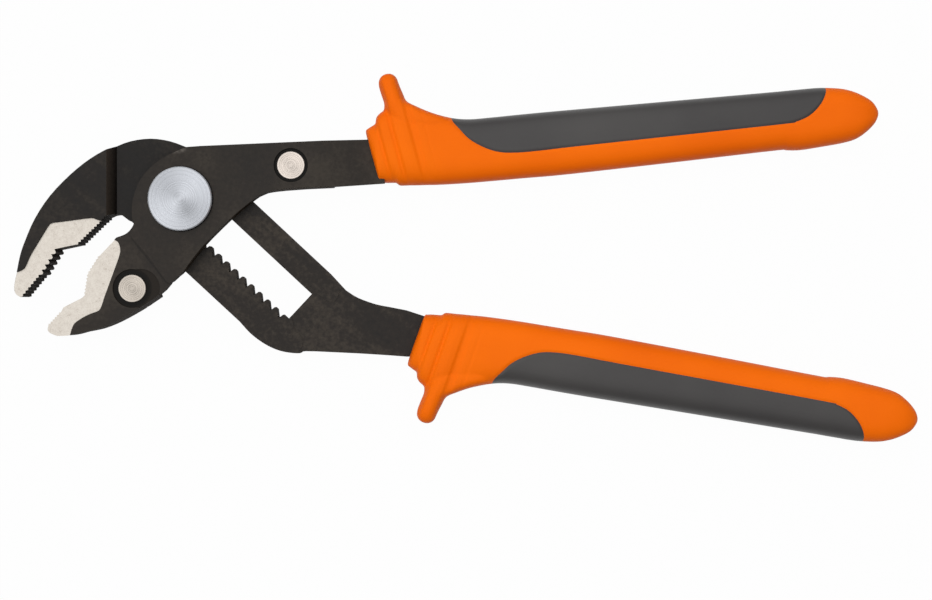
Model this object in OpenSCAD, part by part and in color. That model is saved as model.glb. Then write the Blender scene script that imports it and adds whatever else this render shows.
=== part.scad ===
// Slip joint pliers with a closed, riveted box joint and a push button.
// The origin is on the pivot axis, in the plane that the pliers lie on when they rest on their back.
// X runs from the pivot along the handles, Y towards the upper handle, Z from the back to the button.

/* [Jaws] */
// Reach of the upper jaw, from the pivot axis to its nose
jaw_l = 46.2; // [42:0.1:52]
// Thickness of both jaws
jaw_t = 11; // [9.5:0.1:11.4]
// Height of the jaws' back faces over the resting plane
jaw_lift = 1.2; // [0.8:0.1:1.6]
// Height of one fine tooth of the upper jaw
fine_tooth_h = 0.45; // [0.3:0.05:0.8]
// Height of one coarse tooth of the upper jaw
coarse_tooth_h = 0.8; // [0.7:0.05:1.4]
// Height of one tooth of the lower jaw
lower_tooth_h = 0.35; // [0.2:0.05:0.6]
// Depth of the ground flats beside the teeth
flat_depth = 0.5; // [0.2:0.1:1]
// Distance from the pivot axis to the foot of the step behind the upper jaw
jaw_step = 18.4; // [17:0.1:19]
// Width of the sloping step behind the upper jaw
jaw_step_w = 2.3; // [0.8:0.1:2.4]

/* [Box] */
// Radius that the cheek's outline follows round the pivot
cheek_r = 14; // [13.4:0.1:14.4]
// Thickness of the front cheek
cheek_t = 4.6; // [4.4:0.1:6]
// Thickness of the back plate
back_t = 3.6; // [3.4:0.1:5]
// Gap on each side of the arm inside the box
side_play = 0.15; // [0.05:0.05:0.3]
// Distance from the pivot axis to the end of the bar in front of the upper grip
box_l = 56; // [54:0.5:60]
// Distance from the pivot axis to the end of the back plate
back_l = 41.5; // [38:0.5:46]
// How far the web between the cheeks stays inside their lower edge
web_inset = 2.4; // [2:0.1:2.8]

/* [Arm] */
// Thickness of the slotted arm
arm_t = 5; // [4.4:0.1:6]
// Distance from the pivot axis to the arm's edge on the smooth side
arm_up = 12.7; // [12.6:0.1:13.2]
// Distance from the pivot axis to the arm's edge on the rack side
arm_low = 14.2; // [13.4:0.1:14.4]
// Angle of the slot below the X axis, in degrees
slot_deg = 43; // [40:0.5:46]
// Distance between two teeth of the rack
rack_pitch = 3.11; // [2.9:0.01:3.2]
// Number of teeth that the joint can be set along
rack_steps = 12; // [6:6:12]
// Height of a rack tooth
rack_h = 1.65; // [1.3:0.05:1.7]
// How far the forged bar lies below the ground face of the arm
bar_drop = 0.2; // [0.1:0.1:0.8]
// Width of the lower bar at its root
bar_w = 13; // [12:0.1:14]

/* [Pivot] */
// Diameter of the pivot pin
pin_d = 12; // [11.5:0.1:12.2]
// Diameter of the push button
button_d = 17.6; // [16.8:0.1:18.4]
// Thickness of the button's disc
button_t = 1.4; // [1:0.1:2]
// How far the button moves down when it is pressed
press = 2.5; // [2.3:0.05:2.6]
// Diameter of the button's stem
stem_d = 5.2; // [4.6:0.1:5.4]
// Wire diameter of the button spring
wire_d = 0.6; // [0.4:0.05:0.7]
// Number of turns of the button spring
spring_turns = 4.5; // [3:0.5:6]
// Radial gap of running fits
fit_gap = 0.05; // [0.02:0.01:0.1]

/* [Rivets] */
// Diameter of the rivets' shanks
rivet_d = 6; // [5:0.1:6.6]
// Diameter of the rivets' front faces
rivet_face_d = 7.6; // [7:0.1:8.2]
// Diameter of the sunk ring round the handle rivet
ring_d = 9.4; // [8.8:0.1:10]
// Depth of the sunk rings
ring_depth = 0.6; // [0.3:0.1:1]

/* [Grips] */
// Length of a grip
grip_l = 141; // [130:1:155]
// Unit of the grip's width that its outline follows
grip_w = 20.2; // [19:0.1:21]
// Thickness of a grip
grip_t = 14.5; // [13.5:0.1:17]
// Thickness of the soft inlay
inlay_t = 1.6; // [1:0.1:2.2]
// Slope of the upper grip, in degrees
upper_deg = 5.55; // [5:0.05:6.5]
// Slope of the lower grip, in degrees
lower_deg = 9.8; // [9:0.1:11]
// How far the upper grip's nose lies behind the end of the bar in front of it
grip_lap = 5.4; // [4.4:0.1:6]
// Place of the upper grip's nose from the pivot axis, along Y
upper_grip_y = 14.05; // [13.5:0.05:14.5]
// Place of the lower grip's nose from the pivot axis, along X
lower_grip_x = 62.6; // [62:0.1:64]
// Place of the lower grip's nose below the pivot axis, along Y
lower_grip_y = 40.6; // [40:0.1:41.5]
// Thickness of the steel tang in the upper grip
tang_t = 6.4; // [5:0.1:7]
// Gap between a tang and its grip
tang_gap = 0.15; // [0.05:0.05:0.3]

/* [Hidden] */
$fn = 72;

// Overrun of every cut past the face that it opens
over = 0.5;

// Levels, from the resting plane up
arm_z = back_t + side_play;
arm_top = arm_z + arm_t;
cheek_z = arm_top + side_play;
box_top = cheek_z + cheek_t;
jaw_top = jaw_lift + jaw_t;
bar_top = arm_top - bar_drop;

// Directions along the slot and across it, towards its smooth wall
along = [cos(slot_deg), -sin(slot_deg)];
across = [sin(slot_deg), cos(slot_deg)];
function on_slot(a, c) = a * along + c * across;

// Limits of the handles' turn, in degrees
open_deg = 30;
close_deg = 9.8;

// Slot and rack
pin_r = pin_d / 2;
smooth_wall = 5.2 / 12 * pin_d;
rack_root = pin_r + fit_gap;
rack_tip = rack_root - rack_h;
key_reach = pin_r - 2 * fit_gap;
tooth_gap = 0.12;
slot_gap = 0.1;
first_root = -1.6 * rack_pitch;
last_root = first_root + (rack_steps + 3) * rack_pitch;
slot_start = -pin_r - 6 * fit_gap;
slot_end = last_root + 0.72 * rack_pitch;

// Pivot pin, key and button
button_rise = 0.4;
key_t = 1.25;
key_w = 2.25 * rack_pitch;
key_out = -rack_tip + slot_gap;
key_foot = arm_z + side_play;
key_tooth_l = 2.2 / 2.5 * press;
key_low = key_foot - press - fit_gap;
flange_t = 0.8;
flange_r = pin_r + 1.2;
skirt_t = 1.1;
skirt_l = 0.8;
button_low = box_top + button_rise;
bore_r = stem_d / 2 + fit_gap;
bore_floor = 2.6;
stem_l = 5.9;
stem_foot = button_low - stem_l;
sink_floor = button_low - press - flange_t - 2 * fit_gap - tooth_gap;
sink_r = button_d / 2 + 0.2;
flange_top = sink_floor + flange_t;
tenon_w = 4;
tenon_h = 0.7;

// Retaining ring at the back
ring_t = 0.9;
ring_low = 0.45;
ring_in = pin_r - 0.7;
ring_out = pin_r + 1;
back_sink_r = ring_out + 0.4;
back_sink_depth = ring_low + ring_t + 2 * fit_gap;
ring_mouth_deg = 55;

// Rivets, placed as shares of box_l and of jaw_l from the pivot axis
handle_rivet_shares = [0.541, 0.166];
jaw_rivet_shares = [-0.2945, -0.5325];
rivet_r = rivet_d / 2;
rivet_gap = 0.02;
rivet_cone = 1.5;
rivet_face_t = 0.6;
rivet_proud = 0.1;
handle_rivet_at = box_l * handle_rivet_shares;
jaw_rivet_at = jaw_l * jaw_rivet_shares;
jaw_ring_d = ring_d + 1.3;
lug_r = 5.6;
lug_foot_share = 0.62;

// Bars and tangs
upper_grip_x = box_l - grip_lap;
tang_root = grip_lap / 2;
tang_z = 4.4;
tang_top = tang_z + tang_t;
tang_l = 0.5 * grip_l;
lower_root = on_slot(slot_end, 0);
sweep_r = arm_low + 2.2;
crest_r = 16.8;
sweep_gap = 0.25;

// Outlines, as shares of jaw_l from the pivot axis
upper_back_shares = [[-0.983, -0.438], [-0.963, -0.338], [-0.933, -0.248], [-0.873, -0.113],
    [-0.783, 0.022], [-0.663, 0.147], [-0.544, 0.242], [-0.424, 0.31], [-0.318, 0.352], [-0.197, 0.368],
    [-0.082, 0.353], [0.019, 0.317]];
upper_nose_shares = [[-0.983, -0.438], [-0.996, -0.49], [-1, -0.537], [-0.989, -0.567], [-0.964, -0.584]];
upper_notch_shares = [[-0.46, -0.102], [-0.44, -0.095], [-0.419, -0.09], [-0.377, -0.089],
    [-0.353, -0.104], [-0.325, -0.125]];
upper_flat_shares = [[-0.99, -0.438], [-0.938, -0.413], [-0.903, -0.338], [-0.843, -0.238],
    [-0.793, -0.158], [-0.773, -0.143], [-0.743, -0.138], [-0.663, -0.128], [-0.544, -0.113],
    [-0.504, -0.123], [-0.469, -0.133]];
upper_flat_edge_shares = [[-0.47, -0.25], [-0.8, -0.9], [-1.1, -0.7], [-1.1, -0.438]];
lower_notch_shares = [[-0.28, -0.143], [-0.301, -0.178], [-0.326, -0.203], [-0.356, -0.218],
    [-0.386, -0.228], [-0.4, -0.243]];
lower_nose_shares = [[-0.796, -0.757], [-0.8, -0.78], [-0.787, -0.798], [-0.759, -0.811],
    [-0.742, -0.817]];
lower_back_shares = [[-0.742, -0.817], [-0.669, -0.813], [-0.593, -0.794], [-0.5, -0.774], [-0.4, -0.734],
    [-0.279, -0.668], [-0.193, -0.612], [-0.097, -0.542], [-0.034, -0.456]];
lower_flat_shares = [[-0.4, -0.243], [-0.378, -0.256], [-0.366, -0.291], [-0.369, -0.333],
    [-0.402, -0.428], [-0.438, -0.525], [-0.461, -0.589], [-0.479, -0.643], [-0.497, -0.667],
    [-0.545, -0.685], [-0.592, -0.709], [-0.634, -0.738], [-0.646, -0.756], [-0.658, -0.786],
    [-0.668, -0.83]];
lower_flat_edge_shares = [[-0.9, -0.95], [-0.95, -0.7], [-0.65, -0.3], [-0.45, -0.2]];
// Corners between the rows of teeth, from the joint out to the nose
upper_row_shares = [[-0.46, -0.102], [-0.634, -0.271], [-0.76, -0.298], [-0.855, -0.452],
    [-0.964, -0.584]];
lower_row_shares = [[-0.4, -0.243], [-0.49, -0.338], [-0.557, -0.445], [-0.577, -0.571],
    [-0.595, -0.589], [-0.706, -0.646], [-0.721, -0.676], [-0.796, -0.757]];
fine_teeth_inner = 11;
coarse_teeth = 5;
fine_teeth_outer = 7;
lower_teeth = 6;
tooth_lean_share = 0.45;
coarse_land_share = 0.3;

// Outlines, as shares of cheek_r from the pivot axis
cheek_left_shares = [[0.11, 1.02], [-0.11, 0.925], [-0.345, 0.805], [-0.56, 0.65], [-0.755, 0.43],
    [-0.875, 0.195], [-0.945, -0.06], [-0.955, -0.335], [-0.915, -0.47]];
crease_shares = [[-0.96, -0.6], [-0.99, -0.69], [-0.915, -0.805], [-0.66, -1.1], [-0.5, -1.315],
    [-0.345, -1.53], [-0.225, -1.65], [-0.05, -1.51]];
cheek_low_shares = [[-0.05, -1.51], [0.07, -1.4], [0.42, -0.945], [0.99, -0.375], [1.445, 0],
    [1.6, 0.09], [1.76, 0.15], [1.955, 0.19]];
// The back plate stays inside the cheek along its lower edge
plate_crease_shares = [[-0.96, -0.6], [-0.99, -0.69], [-0.915, -0.805], [-0.66, -1.1], [-0.5, -1.315],
    [-0.345, -1.53]];
plate_low_shares = [[-0.129, -1.428], [-0.01, -1.318], [0.335, -0.869], [0.913, -0.291], [1.384, 0.08],
    [1.57, 0.152], [1.75, 0.189], [1.955, 0.212]];

// Outlines of the upper bar, as shares of box_l from the pivot axis
bar_top_shares = [[0.095, 0.26], [0.29, 0.2675], [0.585, 0.2815], [0.93, 0.2965], [1, 0.2995]];
bar_low_shares = [[0.49, 0.048], [0.6, 0.056], [0.75, 0.063], [1, 0.08]];
plate_bar_shares = [[0.49, 0.0534], [0.6, 0.0614], [0.75, 0.0684], [1, 0.0854]];

// Outlines of the lower bar, as shares of bar_w from the middle of the slot's end
lower_bar_up_shares = [[0.98, 0.374], [1.236, 0.214], [1.621, 0.075], [1.941, 0.011], [2.29, -0.058]];
lower_bar_low_shares = [[-1.264, -0.299], [-1.05, -0.534], [-0.837, -0.705], [-0.623, -0.833],
    [-0.409, -0.918], [-0.196, -0.961], [0.018, -0.972], [0.146, -0.929], [0.98, -0.961],
    [1.727, -1.004], [2.325, -1.047]];
// Where the ground rails beside the slot end on the forged bar, as shares of bar_w from the slot's end,
// along the slot and across it
upper_rail_shares = [[0.34, 1.2], [0.381, 0.892], [0.45, 0.722], [0.46, 0.616], [0.368, 0.528],
    [0.269, 0.51], [0.079, 0.494], [-0.116, 0.515], [-0.2, 0.36]];
lower_rail_shares = [[-0.05, -0.2], [0.1, -0.3], [0.259, -0.4], [0.467, -0.425], [0.59, -0.52],
    [0.63, -0.69], [0.66, -0.9], [0.68, -1.3]];
bar_end_shares = [[12, -8], [12, 8]];

// A grip's sections: place as a share of grip_l, outer and inner edge as shares of grip_w,
// and thickness as a share of grip_t
// A step behind the nose and the guard's ridge stand out from its faces
grip_shares = [[0.004, 0.266, 0.197, 0.3], [0.01, 0.287, -0.06, 0.68], [0.02, 0.322, -0.44, 0.86],
    [0.024, 0.334, -0.46, 0.88], [0.027, 0.416, -0.468, 0.92], [0.034, 0.47, -0.48, 0.93],
    [0.051, 0.525, -0.507, 0.935], [0.064, 0.535, -0.523, 0.99], [0.08, 0.535, -0.54, 1],
    [0.095, 0.525, -0.554, 0.994], [0.104, 0.508, -0.56, 0.96], [0.139, 0.407, -0.578, 0.958],
    [0.175, 0.316, -0.588, 0.96], [0.215, 0.272, -0.595, 0.963], [0.3, 0.271, -0.6, 0.967],
    [0.389, 0.27, -0.605, 0.97], [0.6, 0.256, -0.583, 0.968], [0.81, 0.243, -0.555, 0.965],
    [0.828, 0.243, -0.567, 0.965], [0.856, 0.243, -0.583, 0.965], [0.9, 0.239, -0.565, 0.96],
    [0.94, 0.203, -0.542, 0.94], [0.965, 0.147, -0.507, 0.9], [0.985, 0.07, -0.43, 0.8],
    [1, -0.01, -0.345, 0.64], [1.008, -0.096, -0.27, 0.46], [1.012, -0.162, -0.203, 0.25]];
// The finger guard's sections: height, front and rear as shares of grip_w, thickness of grip_t
guard_shares = [[0.3, 0.325, 1.2, 0.8], [0.425, 0.31, 0.925, 0.8], [0.515, 0.305, 0.76, 0.78],
    [0.6, 0.315, 0.63, 0.74], [0.715, 0.29, 0.585, 0.7], [0.825, 0.268, 0.545, 0.66],
    [0.905, 0.27, 0.517, 0.62], [0.955, 0.3, 0.5, 0.56], [0.985, 0.35, 0.475, 0.47],
    [1, 0.4, 0.45, 0.35]];
// The soft inlay's edge: place as a share of grip_l, height as a share of grip_w
inlay_edge_shares = [[0.18, 0.45], [0.182, 0.27], [0.195, 0.13], [0.212, -0.02], [0.236, -0.145],
    [0.265, -0.235], [0.3, -0.268], [0.345, -0.27], [0.405, -0.262], [0.6, -0.248], [0.818, -0.231],
    [0.842, -0.216], [0.866, -0.163], [0.885, -0.07], [0.9, 0.05], [0.91, 0.2], [0.912, 0.4]];
tang_mid_share = -0.16;
tang_w_share = 0.56;
tang_end_w_share = 0.36;

// A smooth curve through points, with n pieces between each two
function curve_at(a, b, c, d, t) = 0.5 * (2 * b + (c - a) * t + (2 * a - 5 * b + 4 * c - d) * pow(t, 2)
    + (3 * b - a - 3 * c + d) * pow(t, 3));
function curve(p, n = 3) = [for (i = [0:len(p) - 2], k = [0:n - 1])
    curve_at(p[max(i - 1, 0)], p[i], p[i + 1], p[min(i + 2, len(p) - 1)], k / n), p[len(p) - 1]];
function scaled(p, size) = [for (q = p) q * size];
function reversed(p) = [for (i = [len(p) - 1:-1:0]) p[i]];

// A row of n teeth from a to b that stand h over the line, on its left, each with a land on its crest
function unit(v) = v / norm(v);
function left_of(v) = [-v[1], v[0]];
function teeth(a, b, n, h, land = 0) = [for (i = [0:n - 1], k = land > 0 ? [0, -1, 1] : [0, 1])
    a + (b - a) * (i + abs(k) * tooth_lean_share + k * land / 2) / n + abs(k) * h * unit(left_of(b - a))];

// The upper jaw's biting edge from the joint out to the nose, with the teeth towards the lower jaw
function upper_bite(r) = concat(
    teeth(r[0], r[1], fine_teeth_inner, fine_tooth_h),
    [r[1]],
    teeth(r[2], r[3], coarse_teeth, coarse_tooth_h, coarse_land_share),
    teeth(r[3], r[4], fine_teeth_outer, fine_tooth_h),
    [r[4]]);
// The lower jaw's biting edge, mirrored in sense: its teeth stand on the right of the line
function lower_bite(r) = concat(
    [r[0]],
    teeth(r[1], r[2], lower_teeth, -lower_tooth_h),
    teeth(r[2], r[3], lower_teeth, -lower_tooth_h),
    [r[3], r[4], r[5]],
    teeth(r[6], r[7], lower_teeth, -lower_tooth_h),
    [r[7]]);

// The rack as seen from the front: each tooth rises steeply towards the lower handle
steep_share = 0.11;
land_share = 0.26;
function rack_tooth(x) = [[x, -rack_root], [x + steep_share * rack_pitch, -rack_tip],
    [x + (steep_share + land_share) * rack_pitch, -rack_tip]];
function rack_line() = [for (i = [0:rack_steps + 3]) each rack_tooth(first_root + i * rack_pitch)];
// A tooth of the key fills the rack's gap, less a small gap, and is rooted in the key's bar
function key_tooth(x) = let (base = x - (1 - steep_share - land_share) * rack_pitch + 2 * tooth_gap,
    end = x + steep_share * rack_pitch - tooth_gap, root = key_out + key_t / 2)
    [[base, root], [base, -rack_tip + tooth_gap], [x - tooth_gap, -rack_root + tooth_gap],
    [x, -rack_root + tooth_gap], [end, -rack_tip + tooth_gap], [end, root]];

module slot_2d() {
    polygon(concat([[slot_start, smooth_wall], [slot_start, -rack_tip]],
        [[first_root - (1 - steep_share - land_share) * rack_pitch, -rack_tip]],
        rack_line(), [[slot_end, -rack_tip], [slot_end, smooth_wall]]));
}

// The whole arm from the front: jaw, cross strip, lower bar and the tang inside the lower grip
module arm_2d() {
    back = curve(scaled(upper_back_shares, jaw_l));
    nose = curve(scaled(upper_nose_shares, jaw_l));
    notch = curve(scaled(upper_notch_shares, jaw_l));
    bite = upper_bite(scaled(upper_row_shares, jaw_l));
    turn = [for (a = [72:-5:47]) arm_up * [cos(a), sin(a)]];
    up = curve([for (q = lower_bar_up_shares) lower_root + q * bar_w]);
    low = curve([for (q = lower_bar_low_shares) lower_root + q * bar_w]);
    tang = [for (q = tang_line(0)) lower_place(q)];
    polygon(concat(back, turn, [on_slot(slot_end, arm_up)], up, tang, reversed(low),
        [on_slot(slot_start, -arm_low)], reversed(notch), bite, reversed(nose)));
}

// The forged face of the lower bar, which lies a little below the ground rails
module bar_face_2d() {
    rotate(-slot_deg) translate([slot_end, 0]) polygon(concat(curve(scaled(upper_rail_shares, bar_w)),
        curve(scaled(lower_rail_shares, bar_w)), scaled(bar_end_shares, bar_w)));
}

// A tang's outline in a grip's own frame, from its inner root to its outer root
function tang_line(gap) = let (w = tang_w_share * grip_w / 2 + gap, e = tang_end_w_share * grip_w / 2 + gap,
    mid = tang_mid_share * grip_w)
    [[tang_root, mid - w], [tang_l + gap, mid - e], [tang_l + gap, mid + e], [tang_root, mid + w]];

// From the lower grip's frame to the part's
function turned(p, a) = [p[0] * cos(a) - p[1] * sin(a), p[0] * sin(a) + p[1] * cos(a)];
function lower_place(p) = [lower_grip_x, -lower_grip_y] + turned([p[0], -p[1]], -lower_deg);

module in_upper_grip() {
    translate([upper_grip_x, upper_grip_y]) rotate(upper_deg) children();
}

module in_lower_grip() {
    translate([lower_grip_x, -lower_grip_y]) rotate(-lower_deg) mirror([0, 1, 0]) children();
}

module cheek_2d() {
    left = curve(scaled(cheek_left_shares, cheek_r));
    crease = curve(scaled(crease_shares, cheek_r));
    low = curve(scaled(cheek_low_shares, cheek_r));
    bar_up = scaled(bar_top_shares, box_l);
    bar_low = scaled(bar_low_shares, box_l);
    polygon(concat(reversed(bar_up), left, crease, low, bar_low));
}

module plate_2d() {
    left = curve(scaled(cheek_left_shares, cheek_r));
    crease = curve(scaled(plate_crease_shares, cheek_r));
    low = curve(scaled(plate_low_shares, cheek_r));
    bar_up = scaled(bar_top_shares, box_l);
    bar_low = scaled(plate_bar_shares, box_l);
    polygon(concat(reversed(bar_up), left, crease, low, bar_low));
}

module lower_jaw_2d() {
    notch = curve(scaled(lower_notch_shares, jaw_l));
    bite = lower_bite(scaled(lower_row_shares, jaw_l));
    nose = curve(scaled(lower_nose_shares, jaw_l));
    back = curve(scaled(lower_back_shares, jaw_l));
    low = scaled([cheek_low_shares[1], cheek_low_shares[2]], cheek_r);
    polygon(concat(notch, bite, nose, back, low, [on_slot(0, -cheek_r / 2)]));
}

// What the arm sweeps inside the box between its limits
module sweep_2d() {
    circle(sweep_r);
    for (a = [-open_deg, 0, close_deg])
        rotate(a - slot_deg) translate([-box_l, -arm_low - sweep_gap])
            square([2 * box_l, arm_low + arm_up + 2 * sweep_gap]);
}

module web_2d() {
    bar_up = scaled(bar_top_shares, box_l);
    bar_low = [for (q = bar_low_shares) q * box_l + [0, web_inset]];
    difference() {
        polygon(concat(reversed(bar_up), [[0, bar_up[0][1]], [0, web_inset + bar_low_shares[0][1] * box_l]],
            bar_low));
        sweep_2d();
        circle(crest_r);
    }
}

// The back plate's lug round the jaw rivet widens towards the pivot
module lug_2d(gap = 0) {
    side = left_of(unit(jaw_rivet_at));
    near = cheek_r * lug_foot_share + gap;
    turn = atan2(jaw_rivet_at[1], jaw_rivet_at[0]);
    end = [for (a = [-78:6:78]) jaw_rivet_at + (lug_r + gap) * [cos(turn + a), sin(turn + a)]];
    polygon(concat(end, [side * near, -side * near]));
}

module flat_2d(line, edge) {
    polygon(concat(curve(scaled(line, jaw_l)), scaled(edge, jaw_l)));
}

module slab(low, high) {
    translate([0, 0, low]) linear_extrude(high - low) children();
}

// A round bar from low to high
module rod(r, low, high) {
    translate([0, 0, low]) cylinder(r = r, h = high - low);
}

// Cuts the ground flats into both faces of a jaw
module ground_flats(line, edge) {
    slab(jaw_top - flat_depth, jaw_top + over) flat_2d(line, edge);
    slab(jaw_lift - over, jaw_lift + flat_depth) flat_2d(line, edge);
}

// The upper bar seen from the side: the cheek's face runs down into the tang
module upper_bar_side() {
    ramp = 0.7 * box_l;
    ramp_end = 0.9 * box_l;
    low = tang_z - fit_gap;
    high = tang_top + fit_gap;
    rotate([90, 0, 0]) translate([0, 0, -box_l]) linear_extrude(2 * box_l) polygon([
        [-box_l, -over], [back_l + tang_gap, -over], [back_l + tang_gap, low], [2 * box_l, low],
        [2 * box_l, high], [ramp_end, high], [ramp, box_top], [-box_l, box_top]]);
}

module front_half() {
    color("#3d3834") difference() {
        union() {
            intersection() {
                union() {
                    slab(cheek_z, box_top) cheek_2d();
                    slab(back_t, box_top) web_2d();
                }
                upper_bar_side();
            }
            difference() {
                slab(jaw_lift, jaw_top) lower_jaw_2d();
                slab(jaw_lift - over, cheek_z) sweep_2d();
                slab(jaw_lift - over, back_t) {
                    cheek_2d();
                    lug_2d(tang_gap);
                }
            }
            in_upper_grip() slab(tang_z, tang_top) polygon(tang_line(0));
        }
        ground_flats(lower_flat_shares, lower_flat_edge_shares);
        rod(pin_r + fit_gap, 0, box_top);
        rod(sink_r, sink_floor, box_top + over);
        translate(handle_rivet_at) rivet_bore(box_top, ring_d / 2);
        translate(jaw_rivet_at) rivet_bore(jaw_top, jaw_ring_d / 2);
        translate(jaw_rivet_at + [ring_d / 4, 0]) rod(jaw_ring_d / 2, jaw_top - ring_depth / 2, box_top);
    }
}

// The bore of a rivet whose face lies in a sunk ring below top
module rivet_bore(top, ring_r) {
    rod(rivet_r + rivet_gap, 0, top);
    rod(rivet_face_d / 2 + rivet_gap, top - ring_depth - rivet_face_t, top + over);
    rod(ring_r, top - ring_depth, top + 3 * over);
}

// A rivet, set flush with a cone at the back and a flat face in front
module rivet(top) {
    face = top - rivet_proud;
    step = top - ring_depth - rivet_face_t + rivet_gap;
    rotate_extrude() polygon([[0, 0], [rivet_r + rivet_cone, 0], [rivet_r, rivet_cone], [rivet_r, step],
        [rivet_face_d / 2, step], [rivet_face_d / 2, face - rivet_proud],
        [rivet_face_d / 2 - rivet_proud, face], [0, face]]);
}

module rivet_seat() {
    rod(rivet_r + rivet_gap, -over, back_t + over);
    translate([0, 0, -rivet_gap]) rotate_extrude() polygon([[0, -over], [rivet_r + rivet_cone + over, -over],
        [rivet_r + rivet_cone + 2 * rivet_gap, 0], [rivet_r + rivet_gap, rivet_cone + rivet_gap],
        [0, rivet_cone + rivet_gap]]);
}

module back_plate() {
    color("#36322f") difference() {
        union() {
            intersection() {
                slab(0, back_t) plate_2d();
                translate([-jaw_l, -jaw_l, -over]) cube([jaw_l + back_l, 2 * jaw_l, back_t + 2 * over]);
            }
            slab(0, back_t) lug_2d();
        }
        rod(pin_r + fit_gap, -over, back_t + over);
        rod(back_sink_r, -over, back_sink_depth);
        translate(handle_rivet_at) rivet_seat();
        translate(jaw_rivet_at) rivet_seat();
    }
}

module handle_rivet() {
    color("#c9bfb2") translate(handle_rivet_at) rivet(box_top);
}

module jaw_rivet() {
    color("#c9bfb2") translate(jaw_rivet_at) rivet(jaw_top);
}

// What is ground away in front of the arm or behind it, up to the sloping step behind the upper jaw
module arm_relief(face, jaw_face, out) {
    rotate([90, 0, 0]) translate([0, 0, -2 * jaw_l]) linear_extrude(4 * jaw_l) polygon([
        [-jaw_step, face], [-jaw_step - jaw_step_w, jaw_face], [-jaw_step - jaw_step_w, out],
        [5 * jaw_l, out], [5 * jaw_l, face]]);
}

module slotted_arm() {
    color("#3d3834") difference() {
        slab(jaw_lift, jaw_top) arm_2d();
        arm_relief(arm_top, jaw_top, jaw_top + over);
        arm_relief(arm_z, jaw_lift, jaw_lift - over);
        slab(bar_top, arm_top + over) bar_face_2d();
        slab(arm_z - over, arm_top + over) rotate(-slot_deg) slot_2d();
        ground_flats(upper_flat_shares, upper_flat_edge_shares);
    }
}

module across_slot() {
    rotate(-slot_deg) children();
}

module pivot_pin() {
    color("#8d8b88") across_slot() difference() {
        union() {
            rod(pin_r, 0, ring_low);
            rod(ring_in, 0, back_t);
            rod(pin_r, ring_low + ring_t + fit_gap, back_t);
            intersection() {
                rod(pin_r, back_t, cheek_z);
                translate([-pin_r, -rack_tip + slot_gap, back_t])
                    cube([pin_d, smooth_wall + rack_tip - 2 * slot_gap, cheek_z - back_t]);
            }
            rod(pin_r, cheek_z, sink_floor);
            rod(flange_r, sink_floor, flange_top);
        }
        rod(bore_r, bore_floor, flange_top + over);
        translate([-key_w / 2 - fit_gap, key_out - fit_gap, key_low])
            cube([key_w + 2 * fit_gap, key_t + 2 * fit_gap, flange_top + over - key_low]);
        translate([-pin_d, key_out - pin_d, key_low]) cube([2 * pin_d, pin_d, arm_z - key_low]);
    }
}

module lock_key() {
    color("#6f6c69") across_slot() {
        translate([-key_w / 2, key_out, key_foot]) cube([key_w, key_t, button_low - key_foot]);
        translate([-tenon_w / 2, key_out, button_low]) cube([tenon_w, key_t, tenon_h]);
        intersection() {
            slab(key_foot, key_foot + key_tooth_l) for (i = [1:3])
                polygon(key_tooth(first_root + i * rack_pitch));
            rod(key_reach, key_foot - over, key_foot + key_tooth_l + over);
            translate([-key_w / 2, -pin_r, key_foot]) cube([key_w, pin_r, key_tooth_l]);
        }
    }
}

module push_button() {
    color("#bcc2c9") difference() {
        union() {
            edge = button_t / 5;
            r = button_d / 2;
            rotate_extrude() polygon([[0, button_low], [r - skirt_t, button_low],
                [r - skirt_t, button_low - skirt_l], [r, button_low - skirt_l],
                [r, button_low + button_t - edge], [r - edge, button_low + button_t],
                [0, button_low + button_t]]);
            rod(stem_d / 2, stem_foot, button_low + button_t / 2);
        }
        across_slot() translate([-tenon_w / 2 - rivet_gap, key_out - rivet_gap, button_low - over])
            cube([tenon_w + 2 * rivet_gap, key_t + 2 * rivet_gap, tenon_h + rivet_gap + over]);
    }
}

// The button spring is one wire that winds up the pin's bore, closed flat at both ends
spring_r = bore_r - wire_d;
wire_step = 1.05 * wire_d;
spring_low = bore_floor + wire_d / 2 + fit_gap + wire_step;
spring_high = stem_foot - wire_d / 2 - fit_gap - wire_step;
rings_a_turn = 10;
wire_sides = 6;
spring_rings = spring_turns * rings_a_turn;
// Share of the height reached at share t of the wire, level over the first and last turn
function climb(t) = let (flat_share = 0.9 / spring_turns)
    min(1, max(0, (t - flat_share) / (1 - 2 * flat_share)));
function spring_ring(i) = let (a = 360 * i / rings_a_turn,
    z = spring_low + (spring_high - spring_low) * climb(i / spring_rings))
    [for (k = [0:wire_sides - 1]) let (b = 360 * k / wire_sides, r = spring_r + wire_d / 2 * cos(b))
        [r * cos(a), r * sin(a), z + wire_d / 2 * sin(b) + wire_step * end_lift(i)]];
// The end turns lie one wire apart from the next one
function end_lift(i) = let (t = i / rings_a_turn)
    t < 1 ? t - 1 : (spring_turns - t < 1 ? 1 - (spring_turns - t) : 0);

function loft_points(rings) = [for (r = rings) each r];
function loft_faces(count, sides) = concat(
    [for (i = [0:count - 2], k = [0:sides - 1]) each
        let (n = (k + 1) % sides, a = i * sides, b = a + sides) [[a + k, b + k, b + n], [a + k, b + n, a + n]]],
    [[for (k = [0:sides - 1]) k]], [[for (k = [sides - 1:-1:0]) (count - 1) * sides + k]]);

module loft(rings) {
    polyhedron(loft_points(rings), loft_faces(len(rings), len(rings[0])));
}

module button_spring() {
    color("#9c9a96") loft([for (i = [0:spring_rings]) spring_ring(i)]);
}

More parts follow.
